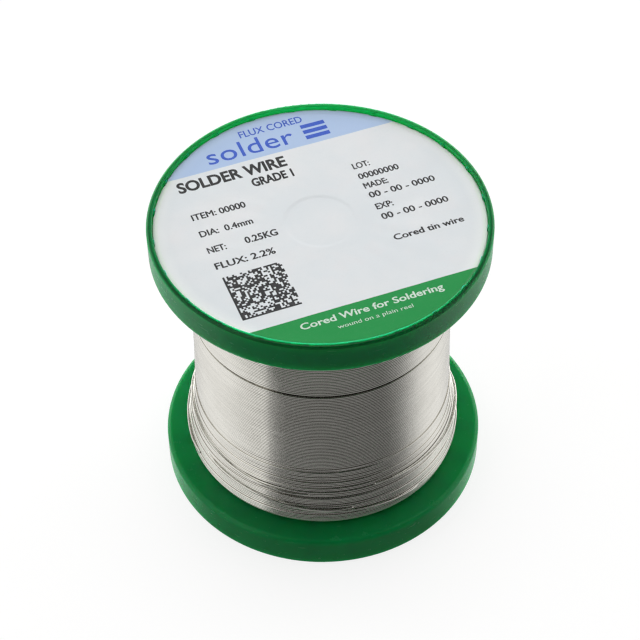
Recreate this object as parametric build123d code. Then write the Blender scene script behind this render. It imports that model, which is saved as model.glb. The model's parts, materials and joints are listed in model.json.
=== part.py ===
"""Solder wire spool: a plastic reel of two identical dished flanges plugged onto a
core barrel and an arbor tube, a paper label lying on the ribs of the upper flange,
and one length of flux-cored solder wire wound between the flanges.

Frame: millimetres, +Z along the reel's axis and up, origin at the centre of the
lower rim's resting plane. Angles are in degrees about +Z, from +X.
"""

from build123d import *
import math
import os

# ---------------------------------------------------------------- reel
REEL_H = 63.0            # rim plane to rim plane
FLANGE_R = 31.5
FLANGE_H = 6.5           # rim plane to wire-side face
SLIP = 0.03              # radial slip between plugged parts

BARREL_R = 18.5          # core the wire is wound on
BARREL_T = 1.7

TUBE_R = 8.0             # arbor tube, outside
BORE_R = 6.35            # arbor tube, bore for a 12.5 mm peg
BORE_CHAMFER = 0.3

LABEL_R = 30.15
LABEL_T = 0.1            # paper and adhesive
LABEL_SINK = 0.9         # rim plane to the printed face

# ---------------------------------------------------------------- flange moulding
# Heights in the moulding are measured from the rim plane towards the wire.
RIM_T = 1.1
RIM_IN_R = FLANGE_R - RIM_T
RIM_ROUND = 0.55         # outer edge of the rim's open end
RIM_ROUND_IN = 0.2       # inner edge of the rim's open end
BACK_ROUND = 0.9         # outer edge of the wire-side face
WEB_T = 1.6              # disc between the wire and the dish
WEB_Z = FLANGE_H - WEB_T
WEB_OVERLAP = 0.4        # depth that ribs, hub and spigot run into the web

HUB_R = 10.2             # boss round the arbor tube
MID_RING_R = BARREL_R - BARREL_T / 2   # ring rib, in line with the barrel's wall
MID_RING_T = 0.9

RIB_TOP = LABEL_SINK + LABEL_T         # rim plane to the ribs' plane
RIB_N = 24
RIB_PITCH = 360 / RIB_N
RIB_PHASE = 10.0         # first rib's angle
RIB_T = 0.9
RIB_ROUND = 0.18
HUB_OVERLAP = 0.5        # rib's inner end inside the hub
RIM_OVERLAP = 0.3        # rib's outer end inside the rim
NUB_PROUD = 0.2          # nub standing out of the rim's inner wall
NUB_DROP = 0.35          # rim plane to the nub's end
NUB_OVERLAP = 0.6        # nub's depth alongside the rib

SPIGOT_R = BARREL_R - BARREL_T - SLIP  # plug into the barrel
SPIGOT_H = 4.0
SPIGOT_T = 1.5
SPIGOT_CHAMFER = 0.6

# ---------------------------------------------------------------- winding
WIRE_GAP = 0.05          # winding to flange face
LAYER_T = 0.42           # depth of the outermost layer
PART_GAP = 0.01          # radial gap between neighbouring winding bodies
WIND_LOW_Z = FLANGE_H + WIRE_GAP
WIND_TOP_Z = REEL_H - FLANGE_H - WIRE_GAP
PACK_LOW_R = 24.95       # outermost layer beneath the heap
HEAP_IN_R = PACK_LOW_R + PART_GAP

# (radius, height) up the outside of the wound pack
PACK_PROFILE = [
    (PACK_LOW_R, WIND_LOW_Z), (24.92, 22.0), (24.88, 25.2), (24.77, 28.4),
    (24.68, 31.5), (24.61, 37.8), (24.54, 47.3), (24.46, WIND_TOP_Z),
]
# (radius, height) round the turns heaped against the lower flange
HEAP_PROFILE = [
    (HEAP_IN_R, WIND_LOW_Z), (26.75, WIND_LOW_Z), (27.0, 9.4), (26.42, 12.6),
    (25.74, 15.7), (25.35, 18.9), (25.33, 20.6), (HEAP_IN_R, 20.7),
]

# ---------------------------------------------------------------- wire ends
WIRE_D = 0.4
FLUX_D = 0.146           # flux core: 2.2 % of the wire's mass

# the start lead goes through the lower web, midway between two ribs
START_ANGLE = RIB_PHASE + 16.5 * RIB_PITCH
START_R = BARREL_R + 0.8
LEAD_HOLE_R = 0.75
LEAD_HOLE_H = 8.0        # cutter length, centred on the wire-side face
START_SINK = 0.02        # wire-side face down to the lead's upper end
START_BEND_R = 1.0
START_RUN = 5.5          # straight length after the bend
START_RUN_Z = 3.1        # height of that run

END_Z = 14.0             # height at which the free end leaves the heap
END_R = 26.42            # centreline radius of its last part turn
END_FROM = 28.0          # angles the part turn runs between
END_TO = 96.0
END_FREE = 13.0          # straight length after the part turn


def disc(radius, z0, z1):
    """A cylinder on the Z axis between two heights."""
    return Pos(0, 0, z0) * Cylinder(
        radius, z1 - z0, align=(Align.CENTER, Align.CENTER, Align.MIN))


def ring(outer, inner, z0, z1):
    """A tube on the Z axis between two heights."""
    return disc(outer, z0, z1) - disc(inner, z0 - 1, z1 + 1)


def turned(points):
    """A solid of revolution about Z from (radius, height) corners."""
    outline = Polyline([(radius, 0, z) for radius, z in points], close=True)
    return revolve(make_face(outline), Axis.Z, 360)


def polar(radius, angle, z=0):
    """A point from its radius, angle and height."""
    turn = math.radians(angle)
    return Vector(radius * math.cos(turn), radius * math.sin(turn), z)


def circles(body, radius, z):
    """The circular edges of a body at one radius and height."""
    return [e for e in body.edges().filter_by(GeomType.CIRCLE)
            if abs(e.radius - radius) < 1e-6 and abs(e.center().Z - z) < 1e-6]


def radial_bar(r0, r1, z0, z1):
    """A rib-wide box lying along +X."""
    return Pos((r0 + r1) / 2, 0, (z0 + z1) / 2) * Box(r1 - r0, RIB_T, z1 - z0)


def make_rib():
    """One rib along +X, with a low nub up the rim's inner wall."""
    outer_end = RIM_IN_R + RIM_OVERLAP
    rib = radial_bar(HUB_R - HUB_OVERLAP, outer_end, RIB_TOP, WEB_Z + WEB_OVERLAP)
    free_edges = [e for e in rib.edges().filter_by(Axis.X)
                  if abs(e.center().Z - RIB_TOP) < 1e-6]
    rib = fillet(free_edges, RIB_ROUND)
    return rib + radial_bar(RIM_IN_R - NUB_PROUD, outer_end, NUB_DROP, RIB_TOP + NUB_OVERLAP)


def make_flange():
    """One flange with its rim plane at z=0 and its wire-side face at z=FLANGE_H."""
    body = disc(FLANGE_R, 0, FLANGE_H)
    body -= disc(RIM_IN_R, 0, WEB_Z)
    body = fillet(circles(body, FLANGE_R, 0), RIM_ROUND)
    body = fillet(circles(body, FLANGE_R, FLANGE_H), BACK_ROUND)
    body = fillet(circles(body, RIM_IN_R, 0), RIM_ROUND_IN)
    # hub boss, ring rib and radial ribs
    rib_foot = WEB_Z + WEB_OVERLAP
    body += ring(HUB_R, TUBE_R, RIB_TOP, rib_foot)
    body += ring(MID_RING_R + MID_RING_T / 2, MID_RING_R - MID_RING_T / 2, RIB_TOP, rib_foot)
    rib = make_rib()
    body = body.fuse(*[Rot(0, 0, RIB_PHASE + k * RIB_PITCH) * rib for k in range(RIB_N)])
    # plug into the barrel
    spigot_end = FLANGE_H + SPIGOT_H
    spigot = ring(SPIGOT_R, SPIGOT_R - SPIGOT_T, FLANGE_H - WEB_OVERLAP, spigot_end)
    body += chamfer(circles(spigot, SPIGOT_R, spigot_end), SPIGOT_CHAMFER)
    # through holes for the arbor tube and for the wire's start
    body -= Cylinder(TUBE_R, 40)
    hole_at = polar(START_R, START_ANGLE, FLANGE_H)
    body -= Pos(hole_at.X, hole_at.Y, hole_at.Z) * Cylinder(LEAD_HOLE_R, LEAD_HOLE_H)
    return body


def make_upper_flange():
    """The same moulding turned over about X, its ribs brought back to the lower one's angles."""
    turned_over = Pos(0, 0, REEL_H) * Rot(180, 0, 0) * make_flange()
    return Rot(0, 0, 2 * RIB_PHASE) * turned_over


def make_arbor_tube():
    """The tube through both hubs, chamfered at the mouths of its bore."""
    tube = ring(TUBE_R - SLIP, BORE_R, RIB_TOP, REEL_H - RIB_TOP)
    mouths = [e for e in tube.edges().filter_by(GeomType.CIRCLE)
              if abs(e.radius - BORE_R) < 1e-6]
    return chamfer(mouths, BORE_CHAMFER)


def make_windings():
    """The inner bulk of the wound pack, and its outermost layer."""
    layer_inside = [(radius - LAYER_T, z) for radius, z in PACK_PROFILE]
    outer = turned(PACK_PROFILE + layer_inside[::-1])
    bulk_outside = [(radius - PART_GAP, z) for radius, z in layer_inside]
    core_r = BARREL_R + PART_GAP
    inner = turned([(core_r, WIND_LOW_Z)] + bulk_outside + [(core_r, WIND_TOP_Z)])
    return inner, outer


def cored_wire(path, start, direction):
    """The solder tube and its flux core along one path."""
    plane = Plane(origin=start, z_dir=direction)
    solid_wire = sweep(plane * Circle(WIRE_D / 2), path=path)
    flux = sweep(plane * Circle(FLUX_D / 2), path=path)
    return solid_wire - flux, flux


def make_start_lead():
    """The wire's start: down through the web, then bent outward in the dish."""
    bend_z = START_RUN_Z + START_BEND_R
    run_r = START_R + START_BEND_R
    diagonal = START_BEND_R * math.cos(math.pi / 4)
    top = polar(START_R, START_ANGLE, FLANGE_H - START_SINK)
    bend_start = polar(START_R, START_ANGLE, bend_z)
    bend_mid = polar(run_r - diagonal, START_ANGLE, bend_z - diagonal)
    bend_end = polar(run_r, START_ANGLE, START_RUN_Z)
    tip = polar(run_r + START_RUN, START_ANGLE, START_RUN_Z)
    path = Wire([
        Line(top, bend_start),
        ThreePointArc(bend_start, bend_mid, bend_end),
        Line(bend_end, tip),
    ])
    return cored_wire(path, top, Vector(0, 0, -1))


def make_free_end():
    """The wire's free end: a part turn on the heap, then straight off at a tangent."""
    start = polar(END_R, END_FROM, END_Z)
    middle = polar(END_R, (END_FROM + END_TO) / 2, END_Z)
    leave = polar(END_R, END_TO, END_Z)
    tip = leave + polar(1, END_TO + 90) * END_FREE
    path = Wire([ThreePointArc(start, middle, leave), Line(leave, tip)])
    return cored_wire(path, start, polar(1, END_FROM + 90))


inner_winding, outer_winding = make_windings()
wire_start_lead, start_lead_flux = make_start_lead()
wire_free_end, free_end_flux = make_free_end()
label_z = REEL_H - RIB_TOP

PARTS = {
    "lower_flange": make_flange(),
    "upper_flange": make_upper_flange(),
    "core_barrel": ring(BARREL_R, BARREL_R - BARREL_T, FLANGE_H, REEL_H - FLANGE_H),
    "arbor_tube": make_arbor_tube(),
    "upper_label": disc(LABEL_R, label_z, label_z + LABEL_T),
    "inner_winding": inner_winding,
    "outer_winding": outer_winding,
    "heaped_turns": turned(HEAP_PROFILE),
    "wire_start_lead": wire_start_lead,
    "start_lead_flux": start_lead_flux,
    "wire_free_end": wire_free_end,
    "free_end_flux": free_end_flux,
}

os.makedirs("parts", exist_ok=True)
for name, shape in PARTS.items():
    export_step(shape, f"parts/{name}.step")
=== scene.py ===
# A green plastic reel of flux-cored solder wire with a printed paper label on its upper flange.
# The reel lies on its lower flange with its axis on Z; the camera looks down from the -Y side.
# Sizes and meshes are in millimetres and become metres in mesh_object. Shaders work in metres.
import json
import math

import bmesh
import bpy
import numpy as np
from mathutils import Matrix, Vector


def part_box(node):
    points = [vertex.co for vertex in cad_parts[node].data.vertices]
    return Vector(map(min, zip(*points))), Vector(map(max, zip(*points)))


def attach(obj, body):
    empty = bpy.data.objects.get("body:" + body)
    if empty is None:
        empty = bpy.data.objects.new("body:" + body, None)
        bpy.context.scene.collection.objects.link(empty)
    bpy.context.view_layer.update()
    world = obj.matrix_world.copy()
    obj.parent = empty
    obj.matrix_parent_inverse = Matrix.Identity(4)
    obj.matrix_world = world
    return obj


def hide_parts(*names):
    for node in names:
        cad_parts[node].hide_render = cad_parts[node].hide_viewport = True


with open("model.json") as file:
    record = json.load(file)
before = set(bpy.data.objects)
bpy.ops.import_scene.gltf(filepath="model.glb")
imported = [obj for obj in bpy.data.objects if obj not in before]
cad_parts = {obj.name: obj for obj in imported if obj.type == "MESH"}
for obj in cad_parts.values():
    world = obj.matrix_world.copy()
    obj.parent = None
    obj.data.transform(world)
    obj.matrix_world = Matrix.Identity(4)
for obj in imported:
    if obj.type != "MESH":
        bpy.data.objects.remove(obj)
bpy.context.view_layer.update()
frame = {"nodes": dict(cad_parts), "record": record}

MM = 0.001


# ---------------------------------------------------------------- sizes taken from the CAD nodes
def cad_box(name):
    low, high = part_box(name)
    return np.array(low) / MM, np.array(high) / MM


flange_r, _, top_z = cad_box("upper_flange")[1]
barrel_low, barrel_high = cad_box("core_barrel")
lower_face_z, upper_face_z = barrel_low[2], barrel_high[2]
label_low, label_high = cad_box("upper_label")
label_r = label_high[0]
label_thick = label_high[2] - label_low[2]
paper_z = label_high[2] - 0.004     # the paper's face before it is dented and waved
pack_r = cad_box("outer_winding")[1][0]
free_low, free_high = cad_box("wire_free_end")
wire_r = (free_high[2] - free_low[2]) / 2
free_end_z = (free_high[2] + free_low[2]) / 2
flux_low, flux_high = cad_box("free_end_flux")
flux_r = (flux_high[2] - flux_low[2]) / 2
bore_r = [m for m in frame["record"]["mounts"] if m["name"] == "arbor_bore"][0]["dims"]["r_mm"]


# ---------------------------------------------------------------- mesh helpers
def mesh_object(name, verts, faces, smooth=True):
    """verts in mm; faces is a list of index arrays, each (faces, corners)."""
    mesh = bpy.data.meshes.new(name)
    verts = np.asarray(verts, float) * MM
    mesh.vertices.add(len(verts))
    mesh.vertices.foreach_set("co", verts.astype(np.float32).ravel())
    loops = np.concatenate([f.ravel() for f in faces]).astype(np.int32)
    totals = np.concatenate([np.full(len(f), f.shape[1]) for f in faces]).astype(np.int32)
    starts = np.concatenate([[0], np.cumsum(totals)[:-1]]).astype(np.int32)
    mesh.loops.add(len(loops))
    mesh.loops.foreach_set("vertex_index", loops)
    mesh.polygons.add(len(totals))
    mesh.polygons.foreach_set("loop_start", starts)
    mesh.polygons.foreach_set("loop_total", totals)
    mesh.polygons.foreach_set("use_smooth", np.full(len(totals), smooth))
    mesh.update(calc_edges=True)
    mesh.validate()
    return link(bpy.data.objects.new(name, mesh))


def link(ob):
    bpy.context.scene.collection.objects.link(ob)
    return ob


def unit(vectors):
    return vectors / np.linalg.norm(vectors, axis=1)[:, None]


def tube(path, radius, segments):
    """A closed tube round a path that runs roughly about Z. Returns verts, [quads, caps]."""
    path = np.asarray(path, float)
    count = len(path)
    along = unit(np.gradient(path, axis=0))
    outward = path.copy()
    outward[:, 2] = 0
    outward = unit(outward)
    normal = unit(outward - (outward * along).sum(1)[:, None] * along)
    binormal = np.cross(along, normal)
    angle = (np.arange(segments) / segments * math.tau)[None, :, None]
    radius = np.broadcast_to(radius, (count,))[:, None, None]
    verts = path[:, None, :] + radius * (
        np.cos(angle) * normal[:, None, :] + np.sin(angle) * binormal[:, None, :])
    ring = np.arange(count - 1)[:, None] * segments
    j = np.arange(segments)[None, :]
    k = (j + 1) % segments
    corners = [ring + j, ring + k, ring + segments + k, ring + segments + j]
    quads = np.stack(corners, -1).reshape(-1, 4)
    caps = np.stack([np.arange(segments)[::-1], (count - 1) * segments + np.arange(segments)])
    return verts.reshape(-1, 3), [quads, caps]


def join(tubes):
    """Several tubes with the same number of segments as one mesh."""
    verts, quads, caps, base = [], [], [], 0
    for tube_verts, (tube_quads, tube_caps) in tubes:
        verts.append(tube_verts)
        quads.append(tube_quads + base)
        caps.append(tube_caps + base)
        base += len(tube_verts)
    return np.concatenate(verts), [np.concatenate(quads), np.concatenate(caps)]


def about_axis(radius, angle, z):
    return np.stack([radius * np.cos(angle), radius * np.sin(angle), z], 1)


def smoothstep(x, start, end):
    t = np.clip((x - start) / (end - start), 0, 1)
    return t * t * (3 - 2 * t)


def wander(turns, per_turn, size, seed):
    """Smooth random wander along a winding, with per_turn random knots in each turn."""
    draw = np.random.default_rng(seed)
    first, last = math.floor(turns.min()) - 1, math.ceil(turns.max()) + 2
    values = draw.normal(0, size, int((last - first) * per_turn) + 2)
    place = (turns - first) * per_turn
    i = np.clip(place.astype(int), 0, len(values) - 2)
    weight = place - i
    weight = weight * weight * (3 - 2 * weight)
    return values[i] * (1 - weight) + values[i + 1] * weight


# ---------------------------------------------------------------- shader helpers
class Graph:
    """Builds the nodes of one shader tree. Values are numbers, RGB colours or output sockets."""

    def __init__(self, tree):
        self.tree = tree

    def new(self, kind):
        return self.tree.nodes.new("ShaderNode" + kind)

    def put(self, socket, value):
        if isinstance(value, bpy.types.NodeSocket):
            self.tree.links.new(value, socket)
        elif isinstance(value, tuple):
            socket.default_value = (*value, 1)
        else:
            socket.default_value = value

    def math(self, operation, *values):
        node = self.new("Math")
        node.operation = operation
        for socket, value in zip(node.inputs, values):
            self.put(socket, value)
        return node.outputs[0]

    def add(self, a, b):
        return self.math("ADD", a, b)

    def multiply(self, a, b):
        return self.math("MULTIPLY", a, b)

    def invert(self, value):
        return self.math("SUBTRACT", 1.0, value)

    def scale(self, value, gain, offset):
        return self.math("MULTIPLY_ADD", value, gain, offset)

    def step(self, value, start, end):
        """0 before start, 1 after end, smooth between."""
        node = self.new("MapRange")
        node.interpolation_type = "SMOOTHSTEP"
        node.inputs["From Min"].default_value = start
        node.inputs["From Max"].default_value = end
        self.put(node.inputs["Value"], value)
        return node.outputs["Result"]

    def mix(self, factor, first, second):
        node = self.new("Mix")
        node.data_type = "RGBA"
        for index, value in ((0, factor), (6, first), (7, second)):
            self.put(node.inputs[index], value)
        return node.outputs[2]

    def tint(self, base, where, amount, colour):
        return self.mix(self.multiply(where, amount), base, colour)

    def noise(self, coord, scale, detail=3, roughness=0.5, stretch=None):
        node = self.new("TexNoise")
        node.inputs["Scale"].default_value = scale
        node.inputs["Detail"].default_value = detail
        node.inputs["Roughness"].default_value = roughness
        if stretch:
            mapping = self.new("Mapping")
            mapping.inputs["Scale"].default_value = stretch
            self.put(mapping.inputs["Vector"], coord)
            coord = mapping.outputs[0]
        self.put(node.inputs["Vector"], coord)
        return node.outputs["Fac"]

    def bump(self, height, strength, distance, normal=None):
        node = self.new("Bump")
        node.inputs["Strength"].default_value = strength
        node.inputs["Distance"].default_value = distance
        self.put(node.inputs["Height"], height)
        if normal is not None:
            self.put(node.inputs["Normal"], normal)
        return node.outputs["Normal"]

    def object_coord(self):
        return self.new("TexCoord").outputs["Object"]

    def separate(self, vector):
        node = self.new("SeparateXYZ")
        self.put(node.inputs[0], vector)
        return node.outputs

    def radius(self, x, y):
        return self.math("SQRT", self.add(self.multiply(x, x), self.multiply(y, y)))

    def azimuth(self, x, y):
        """Radians about Z: 0 on the camera's side (-Y), positive to its right (+X)."""
        return self.math("ARCTAN2", x, self.multiply(y, -1.0))

    def mix_shader(self, factor, first, second):
        node = self.new("MixShader")
        for socket, value in zip(node.inputs, (factor, first, second)):
            self.put(socket, value)
        return node.outputs[0]

    def is_camera_ray(self):
        return self.new("LightPath").outputs["Is Camera Ray"]


def new_material(name):
    """Returns the material, its graph and the inputs of its Principled shader."""
    material = bpy.data.materials.new(name)
    material.use_nodes = True
    graph = Graph(material.node_tree)
    return material, graph, material.node_tree.nodes["Principled BSDF"].inputs


# ---------------------------------------------------------------- materials
def plastic_material():
    """Lightly pigmented green polystyrene: thin walls pass some light."""
    material, graph, surface = new_material("green_plastic")
    # colour of the painted shade on the rim's open edge
    painted_rim_shade = (0.0, 0.032, 0.008)
    coord = graph.object_coord()
    cloud = graph.noise(coord, scale=45, detail=2)
    fine = graph.noise(coord, scale=900, detail=4, roughness=0.6)
    scuff = graph.noise(coord, scale=260, detail=5, roughness=0.7, stretch=(1, 1, 6))
    colour = graph.mix(graph.step(cloud, start=0.35, end=0.7),
                       (0.005, 0.208, 0.060), (0.008, 0.240, 0.072))
    colour = graph.tint(colour, graph.step(scuff, start=0.62, end=0.80),
                        amount=0.13, colour=(0.06, 0.36, 0.14))

    # Painted shade: clear plastic bends the light away inside the rim's open edge, so the base
    # colour
    # is darkened there: the outer rounding when faced, the flat top ring, and the inner wall when
    # seen edge-on.
    x, y, z = graph.separate(coord)
    radius = graph.radius(x, y)
    depth = graph.math("MINIMUM", z, graph.math("SUBTRACT", top_z * MM, z))
    edge = graph.invert(graph.step(depth, start=0.25 * MM, end=1.35 * MM))
    facing = graph.new("LayerWeight").outputs["Facing"]
    outer = graph.multiply(edge, graph.step(radius, start=(flange_r - 0.85) * MM,
                                            end=(flange_r - 0.55) * MM))
    outer = graph.multiply(outer, graph.invert(graph.step(facing, start=0.20, end=0.45)))
    flat = graph.invert(graph.step(depth, start=0.03 * MM, end=0.22 * MM))
    inner = graph.multiply(edge, graph.invert(graph.step(
        radius, start=(flange_r - 1.05) * MM, end=(flange_r - 0.85) * MM)))
    inner = graph.multiply(inner, graph.step(facing, start=0.35, end=0.80))
    # painted light: edge-on walls are lightened towards a bright green for the light they pass, and
    # shine less
    colour = graph.tint(colour, graph.step(facing, start=0.50, end=0.95),
                        amount=0.5, colour=(0.004, 0.40, 0.125))
    # painted shade: the flat top ring, the outer rounding and the inner wall are darkened
    for where, amount in ((flat, 0.42), (outer, 0.80), (inner, 0.65)):
        colour = graph.tint(colour, where, amount, painted_rim_shade)
    graph.put(surface["Base Color"], colour)

    roughness = graph.scale(fine, gain=0.08, offset=0.22)
    roughness = graph.scale(graph.step(scuff, start=0.6, end=0.8), gain=0.14, offset=roughness)
    graph.put(surface["Roughness"], roughness)
    surface["IOR"].default_value = 1.5
    graph.put(surface["Specular IOR Level"],
              graph.scale(graph.step(facing, start=0.35, end=0.85), gain=-0.11, offset=0.17))
    surface["Subsurface Weight"].default_value = 1.0
    surface["Subsurface Radius"].default_value = (0.08, 1.0, 0.55)
    surface["Subsurface Scale"].default_value = 0.0072
    normal = graph.bump(fine, strength=0.06, distance=0.00002)
    normal = graph.bump(cloud, strength=0.05, distance=0.0002, normal=normal)
    graph.put(surface["Normal"], normal)
    return material


def wire_material():
    """Bright solder; its drawn lines run along the wire."""
    material, graph, surface = new_material("solder_wire")
    coord = graph.object_coord()
    # angle, radius and height as coordinates; the small angle factor draws the pattern out
    x, y, z = graph.separate(coord)
    angle = graph.math("ARCTAN2", y, x)
    radius = graph.radius(x, y)
    wound = graph.new("CombineXYZ")
    for socket, value in zip(wound.inputs, (graph.multiply(angle, 0.0012), radius, z)):
        graph.put(socket, value)
    lines = graph.noise(wound.outputs[0], scale=16000, detail=2, roughness=0.6)
    turns = graph.noise(wound.outputs[0], scale=1900, detail=1)
    patches = graph.noise(coord, scale=110, detail=4, roughness=0.6)
    grains = graph.noise(coord, scale=3500, roughness=0.6)
    colour = graph.mix(graph.step(patches, start=0.3, end=0.75),
                       (0.80, 0.785, 0.735), (0.73, 0.715, 0.665))
    colour = graph.tint(colour, graph.step(turns, start=0.35, end=0.7),
                        amount=0.30, colour=(0.62, 0.605, 0.56))
    colour = graph.tint(colour, graph.step(grains, start=0.62, end=0.78),
                        amount=0.25, colour=(0.45, 0.43, 0.39))
    graph.put(surface["Base Color"], colour)
    surface["Metallic"].default_value = 1.0
    roughness = graph.scale(lines, gain=0.05, offset=0.075)
    roughness = graph.scale(graph.step(patches, start=0.4, end=0.8), gain=0.05, offset=roughness)
    graph.put(surface["Roughness"], roughness)
    graph.put(surface["Normal"], graph.bump(lines, strength=0.25, distance=0.000004))
    return material


def flux_material():
    material, graph, surface = new_material("flux")
    grain = graph.noise(graph.object_coord(), scale=9000)
    graph.put(surface["Base Color"], graph.mix(grain, (0.50, 0.24, 0.045), (0.68, 0.40, 0.11)))
    graph.put(surface["Roughness"], graph.scale(grain, gain=0.2, offset=0.15))
    return material


# The label has its own frame: u along its lines of text, v up across them, both from its centre.
LABEL_TURN = math.radians(20.53)
BLUE_EDGE_V, GREEN_EDGE_V = 20.0, -21.0     # the blue band is above, the green band below
BAND_BLUR = 0.03


def label_material():
    """White paper with a pale blue band at the top and a green one at the bottom."""
    material, graph, surface = new_material("label_paper")
    coord = graph.object_coord()
    x, y, _ = graph.separate(coord)
    label_v = graph.add(graph.multiply(x, -math.sin(LABEL_TURN) / MM),
                        graph.multiply(y, math.cos(LABEL_TURN) / MM))
    radius = graph.radius(x, y)

    def outside(start_inset, end_inset):
        """Rises between two insets from the label's rim."""
        return graph.step(radius, (label_r - start_inset) * MM, (label_r - end_inset) * MM)

    fibre = graph.noise(coord, scale=2600, detail=5, roughness=0.65)
    cloud = graph.noise(coord, scale=70, detail=4, roughness=0.55)
    warm = graph.noise(coord, scale=160)
    white = graph.mix(graph.step(cloud, start=0.35, end=0.7),
                      (0.812, 0.857, 0.890), (0.862, 0.884, 0.905))
    white = graph.tint(white, graph.step(warm, start=0.5, end=0.75),
                       amount=0.25, colour=(0.88, 0.86, 0.88))
    # painted light: the paper is made paler beside the rim, for the light that comes through the
    # rim
    painted_rim_glow = outside(3.0, 0.2)
    white = graph.tint(white, painted_rim_glow, amount=0.9, colour=(0.935, 0.965, 0.975))
    # painted light: a green tint close to the rim, for light through the green plastic
    white = graph.tint(white, outside(1.0, 0.4), amount=0.6, colour=(0.88, 0.98, 0.88))
    blue = graph.mix(cloud, (0.475, 0.625, 0.890), (0.505, 0.650, 0.905))
    # painted light: the blue band is paler beside the rim too
    blue = graph.tint(blue, painted_rim_glow, amount=0.8, colour=(0.58, 0.73, 0.97))
    green = graph.mix(cloud, (0.012, 0.305, 0.068), (0.018, 0.330, 0.080))
    # the fibres make the printed edges uneven
    uneven_v = graph.add(label_v, graph.scale(fibre, gain=0.06, offset=-0.03))

    def above(edge_v):
        return graph.step(uneven_v, start=edge_v - BAND_BLUR, end=edge_v + BAND_BLUR)

    colour = graph.mix(above(BLUE_EDGE_V), white, blue)
    colour = graph.mix(above(GREEN_EDGE_V), green, colour)
    # paper grain, and darker in patches at the very edge
    colour = graph.tint(colour, graph.step(fibre, start=0.52, end=0.75),
                        amount=0.05, colour=(0.35, 0.36, 0.36))
    colour = graph.tint(colour, outside(0.5, 0), amount=graph.multiply(cloud, 0.3),
                        colour=(0.42, 0.47, 0.44))
    graph.put(surface["Base Color"], colour)
    graph.put(surface["Roughness"], graph.scale(fibre, gain=0.18, offset=0.36))
    surface["Specular IOR Level"].default_value = 0.20
    graph.put(surface["Normal"], graph.bump(fibre, strength=0.12, distance=0.00002))
    return material


def ink_material(name, dark, light, worn):
    material, graph, surface = new_material(name)
    coord = graph.object_coord()
    fibre = graph.noise(coord, scale=2600, detail=5, roughness=0.65)
    wear = graph.noise(coord, scale=420)
    colour = graph.mix(graph.step(fibre, start=0.35, end=0.7), dark, light)
    colour = graph.tint(colour, graph.step(wear, start=0.58, end=0.75), amount=0.35, colour=worn)
    graph.put(surface["Base Color"], colour)
    graph.put(surface["Roughness"], graph.scale(fibre, gain=0.2, offset=0.4))
    surface["Specular IOR Level"].default_value = 0.3
    return material


PLASTIC = plastic_material()
WIRE = wire_material()
FLUX = flux_material()
PAPER = label_material()
BLACK_INK = ink_material("ink_black", dark=(0.018, 0.018, 0.02), light=(0.04, 0.04, 0.043),
                         worn=(0.12, 0.12, 0.125))
BLUE_INK = ink_material("ink_blue", dark=(0.036, 0.105, 0.60), light=(0.055, 0.14, 0.68),
                        worn=(0.13, 0.22, 0.72))
PALE_INK = ink_material("ink_pale", dark=(0.62, 0.80, 0.68), light=(0.74, 0.86, 0.77),
                        worn=(0.50, 0.72, 0.56))


def paint(ob, material):
    ob.data.materials.clear()
    ob.data.materials.append(material)


# ---------------------------------------------------------------- CAD pieces shown as they are
nodes = frame["nodes"]
for name in ("lower_flange", "upper_flange", "core_barrel", "arbor_tube"):
    paint(nodes[name], PLASTIC)
paint(nodes["inner_winding"], WIRE)
paint(nodes["wire_start_lead"], WIRE)
paint(nodes["start_lead_flux"], FLUX)

# ---------------------------------------------------------------- the wound wire
PITCH = 0.415
TURN_R = PITCH / 2 - 0.001      # the turns that are seen all but touch
TURN_STEPS = 144                # path points in one turn
TURN_SEGMENTS = 10
GROOVE_Z = 41.45
SURFACE_START_Z = 18.9          # under the heap's top edge
WINDING_TOP_Z = upper_face_z - 0.27
# outer radius of the pack by height
PACK_Z = np.array([6.5, 22.0, 25.2, 28.4, 31.5, 37.8, 47.3, 56.5])
PACK_R = np.array([pack_r, 24.92, 24.88, 24.77, 24.68, 24.61, 24.54, 24.46])


def layer_path(start_angle, turns, start_z, z_sign, radius_of, per_turn, seed,
               gaps=(), jitter=0.010):
    """A helix with loose turns; gaps lists (turn, extra height). Returns path, turns, angles."""
    turn = np.linspace(0, turns, int(turns * per_turn) + 1)
    z = start_z + z_sign * PITCH * turn
    z = z + wander(turn, 7, jitter, seed)
    for at, size in gaps:
        z = z + z_sign * size * smoothstep(turn, at - 0.06, at + 0.06)
    angle = start_angle + math.tau * turn
    radius = radius_of(z, turn) + wander(turn, 6, jitter * 0.7, seed + 1)
    return about_axis(radius, angle, z), turn, angle


def surface_radius(z, turn):
    return np.interp(z, PACK_Z, PACK_R) - wire_r


# surface layer, wound up to the upper flange
draw = np.random.default_rng(5)
gaps = [(4.3, 0.15)]            # the valley above the heap's top edge
turn = 5.2
while turn < 92:
    size = float(draw.choice([0.012, 0.02, 0.045, 0.075], p=[0.4, 0.3, 0.2, 0.1]))
    gaps.append((turn, size))
    turn += draw.uniform(1.2, 4.5)


def turns_to_reach(z):
    turns = 0
    while SURFACE_START_Z + PITCH * turns + sum(s for at, s in gaps if at < turns) < z:
        turns += 0.01
    return turns


# the step over the groove is at the back
gaps.append((math.floor(turns_to_reach(GROOVE_Z - 0.25)) + 0.46, 0.58))
path, _, _ = layer_path(math.radians(-90), turns_to_reach(WINDING_TOP_Z), SURFACE_START_Z, 1,
                        surface_radius, TURN_STEPS, seed=31, gaps=gaps)
# the seam between the two pieces is at the back, half a turn on from the start
seam = len(path) // 2
seam += TURN_STEPS // 2 - seam % TURN_STEPS
surface_lower = mesh_object("wire_surface_lower", *tube(path[:seam + 1], TURN_R, TURN_SEGMENTS))
surface_upper = mesh_object("wire_surface_upper", *tube(path[seam:], TURN_R, TURN_SEGMENTS))


def second_radius(z, turn):
    """The layer below, sunk further under the groove."""
    sunk = 0.42 * np.exp(-((z - GROOVE_Z - 0.1) / 0.75) ** 2)
    return surface_radius(z, turn) - 0.35 - sunk


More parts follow.
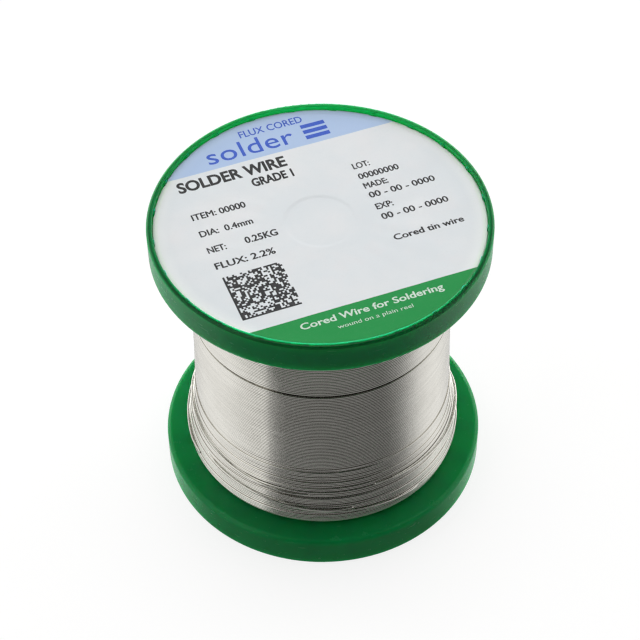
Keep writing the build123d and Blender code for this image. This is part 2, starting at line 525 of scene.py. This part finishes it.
# it shows in the gaps
path, _, _ = layer_path(math.radians(40), (WINDING_TOP_Z - 18.6) / PITCH, WINDING_TOP_Z, -1,
                        second_radius, 96, seed=47)
second_layer = mesh_object("wire_second_layer", *tube(path, wire_r, 6))

# Turns heaped against the lower flange in terraces, each a short layer on top of the one before:
# top height, bottom height, outer radius, angle where it climbs onto the layer below (degrees),
# and the valley left open above the next one's top edge.
TERRACES = [
    (20.35, 16.9, 25.27, 276, 0.16),
    (17.65, 15.3, 25.55, 20, 0.13),
    (16.15, 14.1, 25.82, 150, 0.42),
    (14.95, 12.8, 26.12, 205, 0.20),
    (13.60, 10.9, 26.42, 95, 0.17),
    (11.60, 8.9, 26.72, 320, 0.15),
    (9.60, 6.95, 27.0, 60, 0.0),
]


def terrace(number, top, bottom, outer_r, start_degrees, valley):
    lowest = number == len(TERRACES)
    draw = np.random.default_rng(60 + number)
    # uneven edge: one wave and two waves in a turn, each with its phase
    wave1, phase1 = draw.uniform(0.05, 0.22), draw.uniform(0, math.tau)
    wave2, phase2 = draw.uniform(0.02, 0.08), draw.uniform(0, math.tau)
    turns = (top - bottom) / (PITCH + 0.004)
    gaps = []
    if turns > 2.5:
        gaps = [(float(at), float(draw.choice([0.03, 0.06, 0.10])))
                for at in draw.uniform(0.8, turns - 0.6, 2)]
    if valley:
        next_top = TERRACES[number][0]
        gaps.append(((top - next_top - 0.42) / PITCH, valley))
    # the fourth one starts in an open valley, so it comes up from deeper
    climb = 1.30 if number == 4 else 0.36

    def radius_of(z, turn):
        radius = outer_r - wire_r - climb * (1 - smoothstep(turn, 0.0, 0.10))
        if lowest:
            radius = radius - 0.30 * smoothstep(-z, -8.4, -6.9)
        return radius

    path, turn, angle = layer_path(
        math.radians(start_degrees), turns - sum(size for _, size in gaps) / PITCH, top, -1,
        radius_of, TURN_STEPS, seed=90 + 2 * number, gaps=gaps, jitter=0.016)
    fade = 1 - smoothstep(turn, turns * 0.55, turns) * (1 if lowest else 0.3)
    path[:, 2] += (wave1 * np.sin(angle + phase1) + wave2 * np.sin(2 * angle + phase2)) * fade
    path[:, 2] = np.maximum(path[:, 2], lower_face_z + 0.05 + wire_r)
    return tube(path, TURN_R, TURN_SEGMENTS)


# outer radius of the heap by height
HEAP_Z = np.array([6.6, 8.4, 9.6, 11.6, 13.6, 14.95, 16.15, 17.65, 20.4, 22.0])
HEAP_R = np.array([26.70, 27.0, 27.0, 26.85, 26.5, 26.25, 25.95, 25.65, 25.3, 24.92])
# single turns that cross the heap on top of the others:
# start angle and span in degrees, start height, end height
STRAYS = [
    (168, 96, 17.2, 14.6), (292, 84, 15.4, 13.2), (212, 70, 13.0, 10.8),
    (20, 110, 16.4, 12.4), (255, 60, 11.2, 9.2), (130, 75, 12.2, 9.6),
]


def stray_turn(start_degrees, span, start_z, end_z):
    along = np.linspace(0, 1, 120)
    z = start_z + (end_z - start_z) * (along * along * (3 - 2 * along) * 0.6 + along * 0.4)
    # both ends dip under their neighbours
    sunk = 0.30 * (1 - smoothstep(along, 0, 0.12)) + 0.30 * smoothstep(along, 0.88, 1)
    radius = np.interp(z, HEAP_Z, HEAP_R) + wire_r * 0.55 - sunk
    angle = np.radians(start_degrees + span * along)
    return tube(about_axis(radius, angle, z), wire_r, TURN_SEGMENTS)


heap_tubes = [terrace(number, *row) for number, row in enumerate(TERRACES, 1)]
heap_tubes += [stray_turn(*row) for row in STRAYS]
heap = mesh_object("wire_heap", *join(heap_tubes))

for ob in (surface_lower, surface_upper, second_layer, heap):
    paint(ob, WIRE)
    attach(ob, "spool")
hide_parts("outer_winding")
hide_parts("outer_winding")
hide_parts("heaped_turns")

# ---------------------------------------------------------------- the wire's free end
FREE_ARC_R = 26.42
FREE_START, FREE_LEAVES = 12, 96    # degrees; it lies on the heap between these, then runs straight
TAIL_LENGTH = 12.9
FREE_SEGMENTS = 20


def free_end_path():
    start, leaves = math.radians(FREE_START), math.radians(FREE_LEAVES)
    angle = np.linspace(start, leaves, 110)
    degrees = np.degrees(angle)
    radius = FREE_ARC_R - 0.04 - 0.36 * (1 - smoothstep(degrees, FREE_START, 27))
    z = np.full_like(angle, free_end_z) - 0.10 * (1 - smoothstep(degrees, FREE_START, 60))
    arc = about_axis(radius, angle, z)
    tangent = np.array([-math.sin(leaves), math.cos(leaves), 0])
    outward = np.array([math.cos(leaves), math.sin(leaves), 0])
    along = np.linspace(0, TAIL_LENGTH, 90)[1:]
    bow = 0.35 * np.sin(along / TAIL_LENGTH * math.pi * 1.15) * smoothstep(along, 0, 9)
    tail = arc[-1] + along[:, None] * tangent + outward * bow[:, None]
    tail[:, 2] += (0.55 * smoothstep(along, 3, TAIL_LENGTH)
                   + 0.12 * np.sin(along * 0.9) * smoothstep(along, 1, 5))
    return np.concatenate([arc, tail])


free_path = free_end_path()
verts, (quads, caps) = tube(free_path, wire_r, FREE_SEGMENTS)
# the cut end: a slightly narrowed rim, then the wall of the hollow the flux sits in
tip = free_path[-1]
forward = tip - free_path[-2]
forward /= np.linalg.norm(forward)
spokes = verts[-FREE_SEGMENTS:] - tip
verts[-FREE_SEGMENTS:] = tip + spokes * 0.93
mouth = tip + spokes * (flux_r / wire_r) - forward * 0.01
bottom = mouth - forward * 0.5
mouth_at = len(verts)
rim_at = mouth_at - FREE_SEGMENTS
bottom_at = mouth_at + FREE_SEGMENTS
j = np.arange(FREE_SEGMENTS)
k = (j + 1) % FREE_SEGMENTS
for ring, next_ring in ((rim_at, mouth_at), (mouth_at, bottom_at)):
    band = np.stack([ring + j, ring + k, next_ring + k, next_ring + j], 1)
    quads = np.concatenate([quads, band])
caps = np.concatenate([caps[:1], (bottom_at + j)[None, :]])
free_wire = mesh_object("free_end_wire", np.concatenate([verts, mouth, bottom]), [quads, caps])
paint(free_wire, WIRE)
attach(free_wire, "free_end")
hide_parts("wire_free_end")

# flux core: distances back from the tip, with the last ring drawn in a little
core_path = np.stack([tip - forward * back for back in (0.48, 0.3, 0.1, 0.035)])
core_radii = np.array([1, 1, 1, 0.85]) * flux_r * 0.985
flux_core = mesh_object("free_end_core", *tube(core_path, core_radii, 16))
paint(flux_core, FLUX)
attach(flux_core, "free_end")
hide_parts("free_end_flux")


# ---------------------------------------------------------------- the label
def label_height(x, y):
    """How far the paper's face stands off its nominal plane."""
    radius = np.hypot(x, y)
    angle = np.arctan2(y, x)
    dent = -0.075 * (1 - smoothstep(radius, bore_r - 0.35, bore_r + 0.55))
    dent = dent * (0.75 + 0.25 * np.cos(angle - 2.2))
    ribs = 0.012 * np.cos(24 * (angle - math.radians(10)))
    ribs = ribs * smoothstep(radius, 9.5, 12) * (1 - smoothstep(radius, 27.5, 29.5))
    wave = (0.020 * np.sin(0.23 * x + 0.8) * np.sin(0.19 * y + 0.3)
            + 0.012 * np.sin(0.41 * x - 0.35 * y))
    curl = 0.05 * smoothstep(radius, label_r - 2.5, label_r) * (0.5 + 0.5 * np.sin(3 * angle + 1.0))
    return dent + ribs + wave + curl


def label_mesh():
    radii = np.concatenate([
        np.linspace(1.2, 5.4, 5), np.linspace(5.7, 7.3, 12), np.linspace(8, label_r - 1.1, 24),
        [label_r - 0.6, label_r - 0.25, label_r - 0.05]])
    around = 480
    angle = np.arange(around) / around * math.tau
    rings = [about_axis(radius, angle, 0 * angle) for radius in radii]
    # the cut edge reaches the rim and is pushed back a little by each of the 24 rib ends
    from_rib = (np.degrees(angle) - 10 + 7.5) % 15 - 7.5
    cut = label_r + 0.17 - 0.15 * (1 - smoothstep(np.abs(from_rib), 0.95, 1.75))
    rings.append(about_axis(cut, angle, 0 * angle))
    upper = np.concatenate([np.zeros((1, 3))] + rings)
    upper[:, 2] = paper_z + label_height(upper[:, 0], upper[:, 1])
    upper[-around:, 2] -= 0.02
    lower = upper.copy()
    lower[:, 2] -= label_thick - 0.006
    count = len(upper)
    ring = 1 + np.arange(len(rings) - 1)[:, None] * around
    j = np.arange(around)
    k = (j + 1) % around
    corners = [ring + j, ring + around + j, ring + around + k, ring + k]
    quads = np.stack(corners, -1).reshape(-1, 4)
    fan = np.stack([np.zeros(around, int), 1 + j, 1 + k], 1)
    rim = count - around
    side = np.stack([rim + j, count + rim + j, count + rim + k, rim + k], 1)
    faces = [np.concatenate([quads, (quads + count)[:, ::-1], side]),
             np.concatenate([fan, (fan + count)[:, ::-1]])]
    return mesh_object("label_sheet", np.concatenate([upper, lower]), faces)


label = label_mesh()
paint(label, PAPER)
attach(label, "spool")
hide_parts("upper_label")

# ---------------------------------------------------------------- print on the label
# Each printed item is (u, v, level, triangles): level 0 is sunk in the paper, 1 is the ink's face.
INK_THICK = 0.012


def letters(text, offset=0.0, spacing=1.0):
    """Vertices and triangles of a line of text, in font units."""
    curve = bpy.data.curves.new("text", "FONT")
    curve.body = text
    curve.size = 1.0
    curve.space_character = spacing
    curve.offset = offset
    curve.extrude = 0.02
    curve.resolution_u = 4
    ob = link(bpy.data.objects.new("text", curve))
    bpy.context.view_layer.update()
    evaluated = ob.evaluated_get(bpy.context.evaluated_depsgraph_get())
    mesh = bpy.data.meshes.new_from_object(evaluated)
    bpy.data.objects.remove(ob)
    bm = bmesh.new()
    bm.from_mesh(mesh)
    bmesh.ops.remove_doubles(bm, verts=bm.verts, dist=1e-5)
    bmesh.ops.triangulate(bm, faces=bm.faces)
    bmesh.ops.recalc_face_normals(bm, faces=bm.faces)
    verts = np.array([vert.co for vert in bm.verts])
    faces = np.array([[loop.index for loop in face.verts] for face in bm.faces])
    bm.free()
    bpy.data.meshes.remove(mesh)
    return verts, faces


FONT_CAP = np.ptp(letters("H")[0][:, 1])


def line(text, u0, u1, base_v, cap, offset=0.0, spacing=1.0, strike=0.055):
    """Text from u0 to u1 on the baseline base_v, with capitals cap high. offset fattens it."""
    verts, faces = letters(text, offset, spacing)
    u = verts[:, 0] - verts[:, 0].min()
    u = u / u.max() * (u1 - u0) + u0
    v = verts[:, 1] / FONT_CAP * cap + base_v
    level = np.where(verts[:, 2] > 0, 1.0, 0.0)
    if not strike:
        return u, v, level, faces
    # struck again beside itself, as a thermal print head does
    shifts = [(-strike, 0), (strike, 0), (0, strike * 0.7), (0, -strike * 0.7)]
    return (np.concatenate([u + du for du, _ in shifts]),
            np.concatenate([v + dv for _, dv in shifts]),
            np.concatenate([level * (1 + 0.08 * i) for i in range(4)]),
            np.concatenate([faces + len(u) * i for i in range(4)]))


def bar(u0, u1, v0, v1, pieces=1):
    """A thin printed rectangle, cut in pieces along u so that it follows the paper."""
    row = pieces + 1
    u = np.tile(np.linspace(u0, u1, row), 4)
    v = np.repeat([v0, v1, v0, v1], row)
    level = np.repeat([0.0, 0.0, 1.0, 1.0], row)
    # first vertex of each row: low and high level, at v0 and v1
    a, b, c, d = 0, row, 2 * row, 3 * row
    faces = []
    for i in range(pieces):
        for p, q, r, s in ((c, c + 1, d + 1, d), (a, b + 1, a + 1, None),
                           (a, a + 1, c + 1, c), (b, d + 1, b + 1, None)):
            if s is None:
                # the diagonal runs the same way, with the winding reversed
                across = b if p == a else d
                faces += [(p + i, q + i, r + i), (p + i, across + i, q + i)]
            else:
                faces += [(p + i, q + i, r + i), (p + i, r + i, s + i)]
    n = pieces
    faces += [(a, c, d), (a, d, b), (a + n, d + n, c + n), (a + n, b + n, d + n)]
    return u, v, level, np.array(faces)


def print_object(name, items, material):
    verts, faces, base = [], [], 0
    for u, v, level, triangles in items:
        x = u * math.cos(LABEL_TURN) - v * math.sin(LABEL_TURN)
        y = u * math.sin(LABEL_TURN) + v * math.cos(LABEL_TURN)
        z = paper_z + label_height(x, y) + np.where(level > 0.5, INK_THICK * level, -0.02)
        verts.append(np.stack([x, y, z], 1))
        faces.append(triangles + base)
        base += len(u)
    ob = mesh_object(name, np.concatenate(verts), [np.concatenate(faces)], smooth=False)
    paint(ob, material)
    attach(ob, "spool")


LEFT_U, RIGHT_U = -21.4, 10.8       # where the left and right columns of text start
black = [
    line("SOLDER WIRE", LEFT_U, -0.3, 16.1, 2.6, offset=0.022, strike=0.05),
    line("GRADE 1", -8.1, -0.1, 12.95, 2.0, offset=0.020, strike=0.05),
    line("ITEM: 00000", LEFT_U, -11.2, 8.45, 1.5),
    line("DIA:  0.4mm", LEFT_U, -11.4, 3.95, 1.5),
    line("NET:", LEFT_U, -18.0, -0.45, 1.5),
    line("0.25KG", -14.3, -8.2, -0.45, 1.55, offset=0.006),
    line("FLUX: 2.2%", LEFT_U, -10.2, -4.65, 1.5, offset=0.004),
    line("LOT:", RIGHT_U, 14.0, 10.45, 1.45),
    line("00000000", RIGHT_U, 18.7, 7.5, 1.45),
    line("MADE:", RIGHT_U, 15.4, 4.8, 1.45),
    line("00 - 00 - 0000", RIGHT_U, 23.7, 2.2, 1.45),
    line("EXP:", RIGHT_U, 14.0, -1.05, 1.45),
    line("00 - 00 - 0000", RIGHT_U, 23.8, -3.8, 1.45),
    line("Cored tin wire", RIGHT_U, 24.3, -9.55, 1.4, strike=0.065),
]

# a square block of random cells, which holds no message; each run of cells is one bar
CELLS = 30
CELL = 10.95 / CELLS
BLOCK_U, BLOCK_V = -21.2, -17.9     # its lower left corner
filled = np.random.default_rng(77).random((CELLS, CELLS)) < 0.56
filled[0, :] = True
filled[:, 0] = True
for row in range(CELLS):
    column = 0
    while column < CELLS:
        if filled[row, column]:
            end = column
            while end + 1 < CELLS and filled[row, end + 1]:
                end += 1
            black.append(bar(BLOCK_U + column * CELL, BLOCK_U + (end + 1) * CELL + 0.01,
                             BLOCK_V + row * CELL, BLOCK_V + (row + 1) * CELL + 0.012,
                             max(1, (end - column) // 3)))
            column = end + 1
        else:
            column += 1
print_object("label_print_black", black, BLACK_INK)

blue = [
    line("FLUX CORED", -6.0, 6.6, 26.3, 1.75, strike=0.03),
    line("solder", -13.8, 3.4, 21.4, 4.1, offset=0.004, spacing=1.05, strike=0),
]
# a plain mark: three bars, one above another
blue += [bar(5.6, 10.4, v, v + 1.0, 3) for v in (24.5, 22.95, 21.4)]
print_object("label_print_blue", blue, BLUE_INK)

pale = [
    line("Cored Wire for Soldering", -12.5, 14.1, -23.75, 1.4, offset=0.006, strike=0.045),
    line("wound on a plain reel", -6.5, 7.5, -25.75, 0.85, strike=0),
]
print_object("label_print_pale", pale, PALE_INK)


# ---------------------------------------------------------------- stage
def floor_material():
    """A translucent white sheet lit from below: mostly its own light, a little of the room's."""
    material, graph, surface = new_material("stage_floor")
    camera_ray = graph.is_camera_ray()
    coord = graph.object_coord()
    grain = graph.noise(coord, scale=40)
    graph.put(surface["Base Color"], graph.mix(grain, (0.90, 0.90, 0.90), (0.93, 0.93, 0.93)))
    surface["Roughness"].default_value = 0.7
    surface["Specular IOR Level"].default_value = 0.1
    glow = graph.new("Emission")
    glow.inputs["Strength"].default_value = 1.09
    room_share = 0.24
    lit = material.node_tree.nodes["Principled BSDF"].outputs[0]
    sheet = graph.mix_shader(room_share, glow.outputs[0], lit)
    # what the reel itself sees of it is darker towards the camera, as under a narrow lightbox
    dim = graph.new("Emission")
    x, y, _ = graph.separate(coord)
    aside = graph.math("ABSOLUTE", graph.azimuth(x, y))
    graph.put(dim.inputs["Strength"],
              graph.scale(graph.step(aside, start=0.70, end=1.35), gain=0.60, offset=0.24))
    upper_side = graph.mix_shader(camera_ray, dim.outputs[0], sheet)
    # nothing from underneath
    clear = graph.new("BsdfTransparent").outputs[0]
    backfacing = graph.new("NewGeometry").outputs["Backfacing"]
    graph.put(material.node_tree.nodes["Material Output"].inputs[0],
              graph.mix_shader(backfacing, upper_side, clear))
    return material


floor_shader = floor_material()
floor_mesh = bpy.data.meshes.new("floor")
floor_mesh.from_pydata([(-6, -6, 0), (6, -6, 0), (6, 6, 0), (-6, 6, 0)], [], [(0, 1, 2, 3)])
floor = link(bpy.data.objects.new("floor", floor_mesh))
floor.location.z = -0.00002
floor_mesh.materials.append(floor_shader)

# brightness of the tent by elevation: elevation / 90 degrees, value
TENT_STOPS = [(0.0, 1.30), (0.35, 1.25), (0.60, 1.15), (0.78, 0.95), (0.92, 0.50)]


def tent_ramp(graph, elevation):
    node = graph.new("ValToRGB")
    elements = node.color_ramp.elements
    while len(elements) < len(TENT_STOPS):
        elements.new(0.5)
    for element, (position, value) in zip(elements, TENT_STOPS):
        element.position = position
        element.color = (*(value / 3,) * 3, 1)
    graph.put(node.inputs[0], graph.multiply(elevation, 1 / 90))
    return node.outputs[0]


def background(graph, colour, strength):
    node = graph.new("Background")
    graph.put(node.inputs["Color"], colour)
    graph.put(node.inputs["Strength"], strength)
    return node.outputs[0]


def studio_world():
    """A white tent round the sides and back, open and dark behind the camera, with a big soft
    light over the back. Angles are in degrees."""
    world = bpy.data.worlds.new("studio")
    bpy.context.scene.world = world
    world.use_nodes = True
    world.node_tree.nodes.clear()
    graph = Graph(world.node_tree)
    output = graph.new("OutputWorld")
    direction = graph.new("VectorMath")
    direction.operation = "NORMALIZE"
    graph.put(direction.inputs[0], graph.new("TexCoord").outputs["Generated"])
    x, y, z = graph.separate(direction.outputs[0])
    azimuth = graph.multiply(graph.azimuth(x, y), 180 / math.pi)
    elevation = graph.multiply(graph.math("ARCSINE", z), 180 / math.pi)
    aside = graph.math("ABSOLUTE", azimuth)

    left = graph.step(graph.multiply(azimuth, -1.0), start=40.0, end=45.5)
    right = graph.step(azimuth, start=61.0, end=96.0)
    sides = graph.math("MAXIMUM", left, right)
    back = graph.step(aside, start=105.0, end=150.0)

    # the tent has a dark opening high at the back, and is brighter round the back below it
    tent = tent_ramp(graph, elevation)
    opening = graph.multiply(
        back, graph.multiply(graph.step(elevation, start=30.0, end=40.0), -1.0))
    tent = graph.multiply(tent, graph.add(opening, 1.0))
    tent = graph.multiply(
        tent, graph.scale(graph.step(aside, start=112.0, end=140.0), gain=1.5, offset=1.0))
    # its left front edge is a tenth brighter, its right side is not
    edge_lift = graph.scale(graph.step(azimuth, start=-85.0, end=-50.0), gain=0.10, offset=1.0)
    edge_off = graph.multiply(graph.step(azimuth, start=-38.0, end=-36.0), -0.10)
    tent_gain = 2.52
    side_light = graph.multiply(graph.multiply(tent, tent_gain), graph.add(edge_lift, edge_off))

    # the soft light over the back, and a weaker one overhead
    over_strength, zenith_strength = 4.3, 1.2
    over = graph.multiply(graph.multiply(back, graph.step(elevation, start=62.0, end=72.0)),
                          over_strength)
    zenith = graph.multiply(graph.step(elevation, start=78.0, end=90.0), zenith_strength)

    # the room in front is dim and low, and a little brighter on the left
    low = graph.step(graph.multiply(elevation, -1.0), start=-24.0, end=-10.0)
    room_strength, least_lean, most_lean = 0.42, 0.70, 1.45
    lean = graph.scale(azimuth, gain=-0.010, offset=1.09)
    lean = graph.math("MINIMUM", graph.math("MAXIMUM", lean, least_lean), most_lean)
    front_light = graph.multiply(graph.multiply(low, room_strength), lean)

    light = graph.add(graph.multiply(sides, side_light),
                      graph.multiply(graph.invert(sides), front_light))
    light = graph.add(light, graph.add(over, zenith))
    lighting = background(graph, (1, 0.995, 0.985), light)
    seen = background(graph, (1, 1, 1), 1.0)
    graph.put(output.inputs[0], graph.mix_shader(graph.is_camera_ray(), lighting, seen))


studio_world()

# ---------------------------------------------------------------- camera
CAMERA_PITCH = math.radians(47.5933)    # below the horizontal
CAMERA_ROLL = math.radians(-0.7918)
CAMERA_DISTANCE = 0.36097               # metres
CAMERA_TARGET = Vector((0, 0, 0.03552))

camera_data = bpy.data.cameras.new("camera")
camera = link(bpy.data.objects.new("camera", camera_data))
forward = Vector((0, math.cos(CAMERA_PITCH), -math.sin(CAMERA_PITCH)))
level_right = Vector((1, 0, 0))
level_up = Vector((0, math.sin(CAMERA_PITCH), math.cos(CAMERA_PITCH)))
right = level_right * math.cos(CAMERA_ROLL) + level_up * math.sin(CAMERA_ROLL)
up = level_up * math.cos(CAMERA_ROLL) - level_right * math.sin(CAMERA_ROLL)
rotation = Matrix((right, up, -forward)).transposed()
position = CAMERA_TARGET - forward * CAMERA_DISTANCE
camera.matrix_world = Matrix.Translation(position) @ rotation.to_4x4()
camera_data.sensor_width = 36.0
camera_data.lens = 106.056675
camera_data.shift_x = -0.0024078125
camera_data.clip_start = 0.01
camera_data.clip_end = 50

scene = bpy.context.scene
scene.camera = camera
scene.view_settings.view_transform = "Standard"
scene.view_settings.look = "None"
scene.cycles.use_denoising = True
scene.cycles.denoising_prefilter = "NONE"
scene.cycles.filter_width = 1.35
